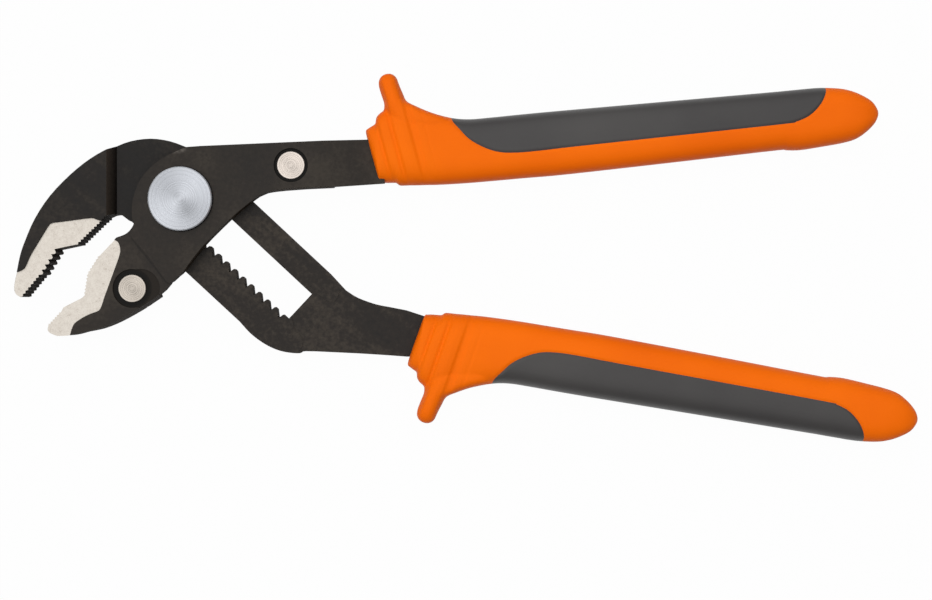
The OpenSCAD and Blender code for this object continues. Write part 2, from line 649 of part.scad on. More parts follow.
module retaining_ring() {
    color("#55524f") across_slot() difference() {
        rod(ring_out, ring_low, ring_low + ring_t);
        rod(ring_in + fit_gap, ring_low - over, ring_low + ring_t + over);
        slab(ring_low - over, ring_low + ring_t + over) polygon([[0, 0],
            2 * ring_out * [cos(90 - ring_mouth_deg / 2), sin(90 - ring_mouth_deg / 2)],
            2 * ring_out * [cos(90 + ring_mouth_deg / 2), sin(90 + ring_mouth_deg / 2)]]);
    }
}

// A rounded section in the plane of v and Z: mid is its middle, half its half width
section_sides = 20;
section_power = 0.66;
function bow(c) = sign(c) * pow(abs(c), section_power);
function grip_ring(mid, half, thick) = [for (k = [0:section_sides - 1]) let (b = 360 * k / section_sides)
    [mid[0] + half[0] * bow(cos(b)), mid[1] + half[1] * bow(cos(b)), grip_t / 2 + thick / 2 * bow(sin(b))]];
function inset_by(size, inset) = max(size - inset, size / 8);

// The grip's main body in its own frame, drawn in by inset all round
function grip_rings(inset) = [for (s = curve(grip_shares, inset > 0 ? 1 : 2)) let (
    top = s[1] * grip_w, low = s[2] * grip_w, half = inset_by((top - low) / 2, inset))
    grip_ring([s[0] * grip_l, (top + low) / 2], [0, half], 2 * inset_by(s[3] * grip_t / 2, inset))];
function guard_rings() = [for (s = guard_shares) let (front = s[1] * grip_w, rear = s[2] * grip_w)
    grip_ring([(front + rear) / 2, s[0] * grip_w], [(front - rear) / 2, 0], s[3] * grip_t)];

module inlay_2d(gap = 0) {
    edge = [for (s = curve(inlay_edge_shares, 2)) [s[0] * grip_l, s[1] * grip_w + gap]];
    polygon(concat(edge, [[edge[len(edge) - 1][0], grip_w], [edge[0][0], grip_w]]));
}

module inlay_room() {
    difference() {
        slab(-grip_t, 2 * grip_t) inlay_2d();
        loft(grip_rings(inlay_t));
    }
}

module grip_shell() {
    difference() {
        union() {
            loft(grip_rings(0));
            loft(guard_rings());
        }
        inlay_room();
    }
}

module grip_inlay() {
    difference() {
        intersection() {
            loft(grip_rings(0));
            slab(-grip_t, 2 * grip_t) inlay_2d();
        }
        loft(grip_rings(inlay_t));
    }
}

module upper_grip() {
    color("#f46e08") difference() {
        in_upper_grip() grip_shell();
        slab(tang_z - tang_gap, tang_top + tang_gap) {
            in_upper_grip() polygon(tang_line(tang_gap));
            offset(delta = tang_gap) intersection() {
                cheek_2d();
                translate([0.85 * box_l, 0]) square(box_l);
            }
        }
    }
}

module upper_grip_inlay() {
    color("#4b4a4a") in_upper_grip() grip_inlay();
}

module lower_grip() {
    color("#f46e08") difference() {
        in_lower_grip() grip_shell();
        slab(arm_z - tang_gap, bar_top + tang_gap) offset(delta = tang_gap) arm_2d();
    }
}

module lower_grip_inlay() {
    color("#4b4a4a") in_lower_grip() grip_inlay();
}

front_half();
back_plate();
handle_rivet();
jaw_rivet();
slotted_arm();
pivot_pin();
lock_key();
push_button();
button_spring();
retaining_ring();
upper_grip();
upper_grip_inlay();
lower_grip();
lower_grip_inlay();
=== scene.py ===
import bpy
import bmesh
import math
from mathutils import Vector, Matrix
from mathutils.kdtree import KDTree


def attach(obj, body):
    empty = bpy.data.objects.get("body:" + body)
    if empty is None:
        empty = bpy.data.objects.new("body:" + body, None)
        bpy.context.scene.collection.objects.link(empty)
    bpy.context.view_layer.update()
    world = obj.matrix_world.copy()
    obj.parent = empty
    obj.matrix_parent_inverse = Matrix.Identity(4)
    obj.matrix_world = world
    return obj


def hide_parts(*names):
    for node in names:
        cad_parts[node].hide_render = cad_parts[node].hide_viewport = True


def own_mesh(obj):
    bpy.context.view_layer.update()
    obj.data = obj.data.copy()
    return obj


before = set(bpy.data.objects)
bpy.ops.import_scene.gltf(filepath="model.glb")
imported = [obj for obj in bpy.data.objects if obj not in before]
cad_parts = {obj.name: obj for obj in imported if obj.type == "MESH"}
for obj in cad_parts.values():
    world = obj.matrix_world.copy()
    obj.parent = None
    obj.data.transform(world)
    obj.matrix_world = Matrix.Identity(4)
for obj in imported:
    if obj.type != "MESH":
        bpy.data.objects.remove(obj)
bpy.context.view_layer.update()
scene = bpy.context.scene
mm = 0.001

# Camera and studio: the camera hangs straight above the pliers
studio = {
    "focal": 68.87, "sensor": 36, "clipStart": 0.01, "above": 0.5038, "atX": 0.0785, "atY": -0.0278,
    "floorZ": -0.0006, "floorReach": 1.6, "floorTone": 0.5, "shadowShare": 0.022, "worldLevel": 0.25,
    "softPower": 37.0, "softSize": (4.0, 3.4), "softAt": (-0.25, 0.35, 1.4),
    "keyPower": 5.2, "keySize": (0.45, 0.35), "keyAt": (-0.1, 0.25, 1.2), "aim": (0.07, -0.02, 0),
}


def addObject(name, data):
    obj = bpy.data.objects.new(name, data)
    scene.collection.objects.link(obj)
    return obj


def addCamera(s):
    data = bpy.data.cameras.new("camera")
    data.lens = s["focal"]
    data.sensor_width = s["sensor"]
    data.clip_start = s["clipStart"]
    scene.camera = addObject("camera", data)
    scene.camera.location = (s["atX"], s["atY"], s["above"])


addCamera(studio)
print("camera done")

# most of a noise's values lie between these
noiseSpan = (0.3, 0.7)


# Node helpers
def newMaterial(name):
    mat = bpy.data.materials.new(name)
    mat.use_nodes = True
    nodes = mat.node_tree.nodes
    nodes.clear()
    out = nodes.new("ShaderNodeOutputMaterial")
    shader = nodes.new("ShaderNodeBsdfPrincipled")
    mat.node_tree.links.new(shader.outputs["BSDF"], out.inputs["Surface"])
    return mat, shader


def link(mat, a, b):
    mat.node_tree.links.new(a, b)


# gives a socket a constant, or links it when the value is a node's output
def feed(mat, socket, value):
    if isinstance(value, bpy.types.NodeSocket):
        link(mat, value, socket)
    else:
        socket.default_value = value


def objectCoords(mat, scale=(1, 1, 1), move=(0, 0, 0), turn=0.0):
    nodes = mat.node_tree.nodes
    coord = nodes.new("ShaderNodeTexCoord")
    place = nodes.new("ShaderNodeMapping")
    place.inputs["Scale"].default_value = scale
    place.inputs["Location"].default_value = move
    place.inputs["Rotation"].default_value = (0, 0, turn)
    link(mat, coord.outputs["Object"], place.inputs["Vector"])
    return place.outputs["Vector"]


def noise(mat, vector, scale, detail=3.0, rough=0.5):
    node = mat.node_tree.nodes.new("ShaderNodeTexNoise")
    node.inputs["Scale"].default_value = scale
    node.inputs["Detail"].default_value = detail
    node.inputs["Roughness"].default_value = rough
    link(mat, vector, node.inputs["Vector"])
    return node.outputs["Fac"]


def mapRange(mat, value, low, high, toLow, toHigh):
    node = mat.node_tree.nodes.new("ShaderNodeMapRange")
    node.inputs["From Min"].default_value = low
    node.inputs["From Max"].default_value = high
    node.inputs["To Min"].default_value = toLow
    node.inputs["To Max"].default_value = toHigh
    link(mat, value, node.inputs["Value"])
    return node.outputs["Result"]


def ramp(mat, value, places, colours):
    node = mat.node_tree.nodes.new("ShaderNodeValToRGB")
    points = node.color_ramp.elements
    while len(points) < len(places):
        points.new(0.5)
    for point, at, colour in zip(points, places, colours):
        point.position = at
        point.color = (*colour, 1)
    link(mat, value, node.inputs["Fac"])
    return node.outputs["Color"]


def mathNode(mat, kind, *values):
    node = mat.node_tree.nodes.new("ShaderNodeMath")
    node.operation = kind
    for i, value in enumerate(values):
        feed(mat, node.inputs[i], value)
    return node.outputs[0]


def times(mat, a, b):
    return mathNode(mat, "MULTIPLY", a, b)


def plus(mat, a, b):
    return mathNode(mat, "ADD", a, b)


def blend(mat, a, b, share):
    return plus(mat, times(mat, a, share), times(mat, b, 1 - share))


def vectorNode(mat, kind, vector):
    node = mat.node_tree.nodes.new("ShaderNodeVectorMath")
    node.operation = kind
    feed(mat, node.inputs[0], vector)
    return node


def lengthOf(mat, vector):
    return vectorNode(mat, "LENGTH", vector).outputs["Value"]


def scaleColour(mat, colour, factor):
    node = vectorNode(mat, "SCALE", colour)
    link(mat, factor, node.inputs["Scale"])
    return node.outputs[0]


# darkens a colour by a share that comes from a node
def darken(mat, colour, share):
    return scaleColour(mat, colour, mathNode(mat, "SUBTRACT", 1, share))


def splitAxes(mat, vector):
    node = mat.node_tree.nodes.new("ShaderNodeSeparateXYZ")
    link(mat, vector, node.inputs[0])
    return node.outputs


def mixColour(mat, mask, a, b):
    mix = mat.node_tree.nodes.new("ShaderNodeMix")
    mix.data_type = "RGBA"
    link(mat, mask, mix.inputs["Factor"])
    link(mat, a, mix.inputs[6])
    mix.inputs[7].default_value = (*b, 1)
    return mix.outputs[2]


def radiusFrom(mat, centre):
    return lengthOf(mat, objectCoords(mat, (1, 1, 0), (-centre[0], -centre[1], 0)))


def bump(mat, shader, height, strength, distance):
    node = mat.node_tree.nodes.new("ShaderNodeBump")
    node.inputs["Strength"].default_value = strength
    node.inputs["Distance"].default_value = distance
    link(mat, height, node.inputs["Height"])
    link(mat, node.outputs["Normal"], shader.inputs["Normal"])


def setSurface(mat, shader, colour, rough, level=None, metal=None):
    link(mat, colour, shader.inputs["Base Color"])
    feed(mat, shader.inputs["Roughness"], rough)
    if level is not None:
        shader.inputs["Specular IOR Level"].default_value = level
    if metal is not None:
        shader.inputs["Metallic"].default_value = metal


def srgb(r, g, b):
    def lin(c):
        c /= 255
        return c / 12.92 if c <= 0.04045 else ((c + 0.055) / 1.055) ** 2.4
    return (lin(r), lin(g), lin(b))


# Finishes: where both rivets stand, and how high their faces lie
rivets = {"handle": {"at": (0.0303, 0.0093), "top": 0.0134}, "jaw": {"at": (-0.0136, -0.0246), "top": 0.0121}}
oxideNoise = {
    "cloud": 60, "cloudDetail": 5, "grain": 900, "grainDetail": 3, "rough": 0.6, "cloudShare": 0.68,
    "stops": (0.36, 0.5, 0.64), "bump": (0.35, 0.00008), "calmBump": (0.3, 0.00008),
}
blackOxide = {
    "face": {"dark": srgb(24, 19, 14), "mid": srgb(34, 28, 22), "pale": srgb(48, 42, 35),
             "rough": (0.4, 0.56), "level": 0.3},
    "edge": {"dark": srgb(30, 26, 21), "mid": srgb(44, 38, 33), "pale": srgb(74, 67, 60),
             "rough": (0.38, 0.5), "level": 0.36},
    "wall": {"dark": srgb(29, 22, 17), "mid": srgb(42, 35, 28), "pale": srgb(58, 50, 42),
             "rough": (0.7, 0.8), "level": 0.05},
    "arm": {"dark": srgb(18, 13, 10), "mid": srgb(30, 24, 19), "pale": srgb(56, 49, 41),
            "rough": (0.4, 0.56), "level": 0.3},
}
# a painted highlight: a pale, grainy patch at the cheek's upper edge
paintedHighlightSpot = {"centre": (-0.0016, 0.0136), "reach": (0.0042, 0.0013), "tone": srgb(96, 90, 84),
            "core": 0.35, "grainSpan": (0.35, 0.7), "least": 0.2}
# painted shade: a dark line along the crease from the jaws' mouth down to the cheek's lower edge, where the
# cheek stands above the lower jaw
creaseShade = {"at": (-0.0088, -0.01705), "turn": 0.894, "halfLength": 0.0082, "halfWidth": 0.00032, "depth": 0.5,
          "taper": 0.9}
# the arm has streaks along the slot, painted shade on its sunk face and a painted contact shadow where it
# goes under the cheek
armShade = {"streakTurn": 0.684, "streaks": (45, 260, 60), "streakDetail": 3, "cloudShare": 0.45,
            "sunkZ": 0.0105, "sunkFade": 0.0005, "shadeX": (-0.004, 0.003), "depth": 0.34,
            "across": (0.716, -0.698), "cheekAt": 0.0151, "reach": 0.0038, "soil": 0.38}


def oxideGrain(mat, vector):
    return noise(mat, vector, oxideNoise["grain"], oxideNoise["grainDetail"], oxideNoise["rough"])


def spotMask(mat, spot):
    scale = [1 / r for r in spot["reach"]] + [0]
    move = [-c / r for c, r in zip(spot["centre"], spot["reach"])] + [0]
    return mapRange(mat, lengthOf(mat, objectCoords(mat, scale, move)), 1.0, spot["core"], 0, 1)


# paints the highlight: mixes the patch's pale tone into the colour
def addPaintedHighlight(mat, colour, grain, spot):
    mask = times(mat, spotMask(mat, spot), mapRange(mat, grain, *spot["grainSpan"], spot["least"], 1))
    return mixColour(mat, mask, colour, spot["tone"])


# darkens a thin band along the crease line: painted shade
def addCreaseShade(mat, colour, line):
    axes = splitAxes(mat, objectCoords(mat, move=(-line["at"][0], -line["at"][1], 0)))
    c, n = math.cos(line["turn"]), math.sin(line["turn"])
    along = mathNode(mat, "SUBTRACT", times(mat, axes["X"], c), times(mat, axes["Y"], n))
    aside = plus(mat, times(mat, axes["X"], n), times(mat, axes["Y"], c))
    near = mapRange(mat, mathNode(mat, "ABSOLUTE", aside), 0, line["halfWidth"], line["depth"], 0)
    ends = mapRange(mat, mathNode(mat, "ABSOLUTE", along), line["halfLength"] * line["taper"],
                    line["halfLength"], 1, 0)
    return darken(mat, colour, times(mat, near, ends))


def addStreaks(mat, cloud, shade):
    stretched = vectorNode(mat, "MULTIPLY", objectCoords(mat, turn=shade["streakTurn"]))
    stretched.inputs[1].default_value = shade["streaks"]
    return blend(mat, cloud, noise(mat, stretched.outputs[0], 1, shade["streakDetail"]), shade["cloudShare"])


def addArmShade(mat, colour, vector, shade):
    axes = splitAxes(mat, vector)
    # painted shade on the arm's sunk face, towards the jaw
    low = mapRange(mat, axes["Z"], shade["sunkZ"], shade["sunkZ"] + shade["sunkFade"], shade["depth"], 0)
    left = mapRange(mat, axes["X"], *shade["shadeX"], 1, 0)
    colour = darken(mat, colour, times(mat, low, left))
    # painted contact shadow on the arm where it goes under the cheek
    along = plus(mat, times(mat, axes["X"], shade["across"][0]), times(mat, axes["Y"], shade["across"][1]))
    return scaleColour(mat, colour, mapRange(mat, along, shade["cheekAt"], shade["cheekAt"] + shade["reach"],
                                             1 - shade["soil"], 1))


def makeBlackOxide(name, p, paintedHighlight=None, line=None, shade=None):
    mat, shader = newMaterial(name)
    v = objectCoords(mat)
    cloud = noise(mat, v, oxideNoise["cloud"], oxideNoise["cloudDetail"], oxideNoise["rough"])
    grain = oxideGrain(mat, v)
    if shade:
        cloud = addStreaks(mat, cloud, shade)
    both = blend(mat, cloud, grain, oxideNoise["cloudShare"])
    colour = ramp(mat, both, oxideNoise["stops"], (p["dark"], p["mid"], p["pale"]))
    if paintedHighlight:
        colour = addPaintedHighlight(mat, colour, grain, paintedHighlight)
    if line:
        colour = addCreaseShade(mat, colour, line)
    if shade:
        colour = addArmShade(mat, colour, v, shade)
    setSurface(mat, shader, colour, mapRange(mat, cloud, *noiseSpan, *p["rough"]), p["level"])
    bump(mat, shader, grain, *oxideNoise["bump"])
    return mat


# painted shade in the sunk rings round both rivets: darkest beside the rivet
pocketShade = {"dark": srgb(10, 8, 6), "pale": srgb(31, 26, 21), "rough": 0.6, "level": 0.2,
               "inner": 0.0046, "outer": 0.0058, "scatter": 0.1, "stops": (0.1, 0.9)}
# painted shade on the sloping step behind the upper jaw: pale at its left, dark at its right
stepShade = {"from": -0.0208, "to": -0.0186, "left": srgb(54, 47, 41), "right": srgb(13, 10, 8),
             "rough": 0.5, "level": 0.2, "scatter": 0.08}


def scattered(mat, value, grain, scatter):
    return plus(mat, value, mapRange(mat, grain, *noiseSpan, -scatter, scatter))


def makePocketShade(p):
    mat, shader = newMaterial("blackOxidePocketShade")
    nearest = mathNode(mat, "MINIMUM", *[radiusFrom(mat, r["at"]) for r in rivets.values()])
    grain = oxideGrain(mat, objectCoords(mat))
    away = scattered(mat, mapRange(mat, nearest, p["inner"], p["outer"], 0, 1), grain, p["scatter"])
    setSurface(mat, shader, ramp(mat, away, p["stops"], (p["dark"], p["pale"])), p["rough"], p["level"])
    bump(mat, shader, grain, *oxideNoise["calmBump"])
    return mat


def makeStepShade(p):
    mat, shader = newMaterial("blackOxideStepShade")
    v = objectCoords(mat)
    grain = oxideGrain(mat, v)
    across = mapRange(mat, splitAxes(mat, v)["X"], p["from"], p["to"], 0, 1)
    across = scattered(mat, across, grain, p["scatter"])
    setSurface(mat, shader, ramp(mat, across, (0, 1), (p["left"], p["right"])), p["rough"], p["level"])
    bump(mat, shader, grain, *oxideNoise["calmBump"])
    return mat


groundSteel = {
    "low": srgb(208, 200, 190), "high": srgb(224, 217, 207), "pit": srgb(182, 172, 160),
    "rough": (0.36, 0.46), "metal": 0.85, "cloud": 700, "cloudDetail": 4, "cloudRough": 0.6, "speck": 3200,
    "speckDetail": 2, "cloudShare": 0.55, "stops": (0.3, 0.4, 0.6), "bump": (0.3, 0.00004),
}


def makeGroundSteel(p):
    mat, shader = newMaterial("groundSteel")
    v = objectCoords(mat)
    cloud = noise(mat, v, p["cloud"], p["cloudDetail"], p["cloudRough"])
    speck = noise(mat, v, p["speck"], p["speckDetail"])
    both = blend(mat, cloud, speck, p["cloudShare"])
    setSurface(mat, shader, ramp(mat, both, p["stops"], (p["pit"], p["low"], p["high"])),
               mapRange(mat, cloud, *noiseSpan, *p["rough"]), metal=p["metal"])
    bump(mat, shader, both, *p["bump"])
    return mat


# turned faces: fine rings, a shade beside the centre and a sweep of light round it
turning = {"scale": 3400, "detail": 3, "lines": (0.84, 1.1), "softCentre": 4e-7, "metal": 0.9,
           "bump": (0.35, 0.00002)}
turnedSteel = {
    "button": {"tone": srgb(199, 202, 208), "rough": (0.28, 0.4), "centre": (0, 0),
               "shade": 0.76, "shadeAt": (0.0018, -0.003), "shadeReach": 0.0036, "sweep": 0.13},
    "handleRivet": {"tone": srgb(229, 218, 208), "rough": (0.3, 0.42), "centre": rivets["handle"]["at"],
                    "shade": 0.84, "shadeAt": (0.0303, 0.0086), "shadeReach": 0.0026, "sweep": 0.06},
    "jawRivet": {"tone": srgb(206, 197, 186), "rough": (0.3, 0.42), "centre": rivets["jaw"]["at"],
                 "shade": 0.84, "shadeAt": (-0.0136, -0.0253), "shadeReach": 0.0026, "sweep": 0.06},
}


def makeTurnedSteel(name, p):
    mat, shader = newMaterial(name)
    radius = radiusFrom(mat, p["centre"])
    marks = mat.node_tree.nodes.new("ShaderNodeTexNoise")
    marks.noise_dimensions = "1D"
    marks.inputs["Scale"].default_value = turning["scale"]
    marks.inputs["Detail"].default_value = turning["detail"]
    link(mat, radius, marks.inputs["W"])
    lines = mapRange(mat, marks.outputs["Fac"], *noiseSpan, *turning["lines"])
    # painted shade beside the centre, and a painted sweep of light round it, brighter where x and y share a
    # sign
    near = mapRange(mat, radiusFrom(mat, p["shadeAt"]), 0, p["shadeReach"], p["shade"], 1)
    axes = splitAxes(mat, objectCoords(mat, move=(-p["centre"][0], -p["centre"][1], 0)))
    square = plus(mat, times(mat, radius, radius), turning["softCentre"])
    turned = mathNode(mat, "DIVIDE", times(mat, axes["X"], axes["Y"]), square)
    sweep = plus(mat, 1, times(mat, turned, 2 * p["sweep"]))
    colour = scaleColour(mat, p["tone"], times(mat, times(mat, lines, near), sweep))
    setSurface(mat, shader, colour, mapRange(mat, marks.outputs["Fac"], *noiseSpan, *p["rough"]),
               metal=turning["metal"])
    bump(mat, shader, marks.outputs["Fac"], *turning["bump"])
    return mat


gripNoise = {"cloud": 28, "cloudDetail": 3, "grainDetail": 4, "grainRough": 0.6, "bump": (0.22, 0.00006)}
softGrip = {
    "orange": {"low": srgb(228, 97, 0), "high": srgb(238, 107, 0), "rough": (0.46, 0.58), "grain": 1500,
               "level": 0.1},
    "grey": {"low": srgb(53, 51, 51), "high": srgb(64, 62, 61), "rough": (0.38, 0.48), "grain": 2300,
             "level": 0.42},
}


def makeSoftGrip(name, p):
    mat, shader = newMaterial(name)
    v = objectCoords(mat)
    cloud = noise(mat, v, gripNoise["cloud"], gripNoise["cloudDetail"])
    grain = noise(mat, v, p["grain"], gripNoise["grainDetail"], gripNoise["grainRough"])
    setSurface(mat, shader, ramp(mat, cloud, noiseSpan, (p["low"], p["high"])),
               mapRange(mat, grain, *noiseSpan, *p["rough"]), p["level"])
    bump(mat, shader, grain, *gripNoise["bump"])
    return mat


# the hidden pieces in and on the pin
plainSteel = {"tone": srgb(120, 118, 114), "deep": srgb(84, 82, 79), "cloud": 300, "cloudDetail": 3,
              "rough": (0.3, 0.45), "metal": 0.9, "bump": (0.2, 0.00004)}


def makePlainSteel(p):
    mat, shader = newMaterial("plainSteel")
    cloud = noise(mat, objectCoords(mat), p["cloud"], p["cloudDetail"])
    setSurface(mat, shader, ramp(mat, cloud, noiseSpan, (p["deep"], p["tone"])),
               mapRange(mat, cloud, *noiseSpan, *p["rough"]), metal=p["metal"])
    bump(mat, shader, cloud, *p["bump"])
    return mat


blackMat = makeBlackOxide("blackOxide", blackOxide["face"], paintedHighlight=paintedHighlightSpot, line=creaseShade)
armMat = makeBlackOxide("blackOxideArm", blackOxide["arm"], shade=armShade)
edgeMat = makeBlackOxide("blackOxideEdge", blackOxide["edge"])
pocketShadeMat = makePocketShade(pocketShade)
wallMat = makeBlackOxide("blackOxideWall", blackOxide["wall"])
stepMat = makeStepShade(stepShade)
groundMat = makeGroundSteel(groundSteel)
buttonMat = makeTurnedSteel("turnedButton", turnedSteel["button"])
handleRivetMat = makeTurnedSteel("turnedHandleRivet", turnedSteel["handleRivet"])
jawRivetMat = makeTurnedSteel("turnedJawRivet", turnedSteel["jawRivet"])
orangeMat = makeSoftGrip("orangeGrip", softGrip["orange"])
greyMat = makeSoftGrip("greyInlay", softGrip["grey"])
plainMat = makePlainSteel(plainSteel)
print("finishes done")

# vertices nearer than this in a copied CAD mesh are one
weldDistance = 2e-6


# Mesh helpers
def setMaterials(mesh, *mats):
    mesh.materials.clear()
    for mat in mats:
        mesh.materials.append(mat)


def smoothFaces(mesh):
    for poly in mesh.polygons:
        poly.use_smooth = True


def bakeModifiers(obj):
    bpy.context.view_layer.update()
    graph = bpy.context.evaluated_depsgraph_get()
    mesh = bpy.data.meshes.new_from_object(obj.evaluated_get(graph))
    obj.modifiers.clear()
    obj.data = mesh
    return mesh


# a copy of a CAD node, and its welded mesh to work on
def weldedCopy(node, name):
    obj = addObject(name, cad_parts[node].data.copy())
    bm = bmesh.new()
    bm.from_mesh(obj.data)
    bmesh.ops.remove_doubles(bm, verts=bm.verts, dist=weldDistance)
    return obj, bm


def inPolygon(x, y, poly):
    inside = False
    for i in range(len(poly)):
        x1, y1 = poly[i]
        x2, y2 = poly[i - 1]
        if (y1 > y) != (y2 > y) and x < (x2 - x1) * (y - y1) / (y2 - y1) + x1:
            inside = not inside
    return inside


# a smooth curve through the points, with n steps between two of them
def curveThrough(points, n):
    out = []
    last = len(points) - 1
    for i in range(last):
        a, b, c, d = points[max(i - 1, 0)], points[i], points[i + 1], points[min(i + 2, last)]
        for k in range(n):
            t = k / n
            out.append(tuple(0.5 * (2 * b[j] + (c[j] - a[j]) * t
                                    + (2 * a[j] - 5 * b[j] + 4 * c[j] - d[j]) * t * t
                                    + (3 * b[j] - a[j] - 3 * c[j] + d[j]) * t ** 3) for j in range(len(b))))
    out.append(tuple(points[-1]))
    return out


# finds how far a place lies from a line of points
def nearTree(points):
    tree = KDTree(len(points))
    for i, (x, y) in enumerate(points):
        tree.insert((x, y, 0), i)
    tree.balance()
    return tree


# A forged piece is a copy of its CAD node with its edges rounded, less at the teeth (zones in mm)
forging = {
    "front_half": {"body": "box", "edge": 0.00042, "face": blackMat},
    "back_plate": {"body": "box", "edge": 0.0003, "face": blackMat},
    "slotted_arm": {"body": "arm", "edge": 0.00042, "face": armMat},
}
rounding = {"segments": 3, "flatDeg": 1.0, "edgeDeg": 40, "sharpDeg": 32, "wallNormal": 0.3,
            "toothShare": 0.17, "normalWeight": 100}
toothZones = [
    [(6.3, -8.9), (33.6, -31.2), (29.6, -36.2), (2.3, -13.9)],
    [(-47.4, -27.8), (-39.2, -14), (-34.2, -10.7), (-22.1, -3), (-15.5, -10.2), (-21, -17.3), (-23.8, -26.7),
     (-33.1, -32.7), (-34.2, -38.2), (-38.6, -38.2), (-41.4, -30.5)],
]
# the order of a forged piece's materials
onFace, onGround, onEdge, onPaintedShade, onStep, onWall = range(6)


def roundedCopy(node, p, r):
    obj, bm = weldedCopy(node, node + "_forged")
    bmesh.ops.dissolve_limit(bm, angle_limit=math.radians(r["flatDeg"]), verts=bm.verts, edges=bm.edges)
    weight = bm.edges.layers.float.new("bevel_weight_edge")
    for e in bm.edges:
        if len(e.link_faces) != 2 or e.calc_face_angle(0) < math.radians(r["edgeDeg"]):
            continue
        x, y = [(e.verts[0].co[i] + e.verts[1].co[i]) / 2 / mm for i in (0, 1)]
        e[weight] = r["toothShare"] if any(inPolygon(x, y, zone) for zone in toothZones) else 1
    bm.to_mesh(obj.data)
    bm.free()
    setMaterials(obj.data, p["face"], groundMat, edgeMat, pocketShadeMat, stepMat, wallMat)
    for poly in obj.data.polygons:
        poly.material_index = onWall if abs(poly.normal.z) < r["wallNormal"] else onFace
    bevel = obj.modifiers.new("edges", "BEVEL")
    bevel.width = p["edge"]
    bevel.segments = r["segments"]
    bevel.limit_method = "WEIGHT"
    bevel.use_clamp_overlap = True
    bevel.material = onEdge
    bakeModifiers(obj)
    smoothFaces(obj.data)
    obj.data.set_sharp_from_angle(angle=math.radians(r["sharpDeg"]))
    even = obj.modifiers.new("evenShading", "WEIGHTED_NORMAL")
    even.mode = "FACE_AREA"
    even.weight = r["normalWeight"]
    even.keep_sharp = True
    bakeModifiers(obj)
    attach(obj, p["body"])
    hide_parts(node)
    return obj


forged = {node: roundedCopy(node, p, rounding) for node, p in forging.items()}
print("forgings done")

# The ground flats of both jaws, with painted shade on their rim: outlines in shares of the jaws' length
flats = {"jawL": 46.2, "steps": 3, "flatNormal": 0.9, "backZ": 0.00175, "frontZ": 0.01165,
         "rimReach": 0.0009, "rimArea": 3e-6, "rimZ": 0.006}
upperFlat = [
    (-0.99, -0.438), (-0.938, -0.413), (-0.903, -0.338), (-0.843, -0.238), (-0.793, -0.158), (-0.773, -0.143),
    (-0.743, -0.138), (-0.663, -0.128), (-0.544, -0.113), (-0.504, -0.123), (-0.469, -0.133)]
lowerFlat = [
    (-0.4, -0.243), (-0.378, -0.256), (-0.366, -0.291), (-0.369, -0.333), (-0.402, -0.428),
    (-0.438, -0.525), (-0.461, -0.589), (-0.479, -0.643), (-0.497, -0.667), (-0.545, -0.685),
    (-0.592, -0.709), (-0.634, -0.738), (-0.646, -0.756), (-0.658, -0.786), (-0.668, -0.83)]
flatZone = {
    "slotted_arm": (upperFlat, [(-0.47, -0.25), (-0.8, -0.9), (-1.1, -0.7), (-1.1, -0.438)]),
    "front_half": (lowerFlat, [(-0.9, -0.95), (-0.95, -0.7), (-0.65, -0.3), (-0.45, -0.2)]),
}


# gives the flats the ground finish, and painted shade to the small rim faces beside them
def grindFlat(mesh, line, around, f):
    zone = [(x * f["jawL"] * mm, y * f["jawL"] * mm) for x, y in curveThrough(line, f["steps"]) + around]
    rim = nearTree(zone)
    for poly in mesh.polygons:
        c = poly.center
        level = abs(poly.normal.z) > f["flatNormal"] and (c.z < f["backZ"] or c.z > f["frontZ"])
        if poly.material_index == onFace and level and inPolygon(c.x, c.y, zone):
            poly.material_index = onGround
        elif (poly.material_index in (onEdge, onWall) and poly.area < f["rimArea"] and c.z > f["rimZ"]
              and rim.find((c.x, c.y, 0))[2] < f["rimReach"]):
            poly.material_index = onPaintedShade


for node, (line, around) in flatZone.items():
    grindFlat(forged[node].data, line, around, flats)

# the sunk rings round both rivets get painted shade, and the step behind the upper jaw its own painted shade
sunkRings = {"handle": 0.0048, "jaw": 0.0062, "low": 0.009, "under": 0.00015}
slope = {"fromX": -0.0212, "toX": -0.0182, "leastX": 0.4, "leastZ": 0.2, "mostY": 0.1}
for poly in forged["front_half"].data.polygons:
    c = poly.center
    for which, rivet in rivets.items():
        x, y = rivet["at"]
        near = math.hypot(c.x - x, c.y - y) < sunkRings[which]
        if near and sunkRings["low"] < c.z < rivet["top"] - sunkRings["under"]:
            poly.material_index = onPaintedShade
for poly in forged["slotted_arm"].data.polygons:
    x, y, z = [abs(n) for n in poly.normal]
    leans = x > slope["leastX"] and z > slope["leastZ"] and y < slope["mostY"]
    if leans and slope["fromX"] < poly.center.x < slope["toX"]:
        poly.material_index = onStep
print("jaw flats done")

# turned and hidden pieces keep their CAD shape
for node, mat in (("push_button", buttonMat), ("handle_rivet", handleRivetMat), ("jaw_rivet", jawRivetMat),
                  ("pivot_pin", plainMat), ("lock_key", plainMat), ("retaining_ring", plainMat)):
    setMaterials(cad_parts[node].data, mat)

# The spring in the pin's bore, a welded copy hung on the pivot
coil, bm = weldedCopy("button_spring", "button_spring_wound")
bm.to_mesh(coil.data)
bm.free()
setMaterials(coil.data, plainMat)
smoothFaces(coil.data)
for poly in coil.data.polygons:
    poly.material_index = 0
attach(coil, "pivot")
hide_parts("button_spring")
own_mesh(coil)


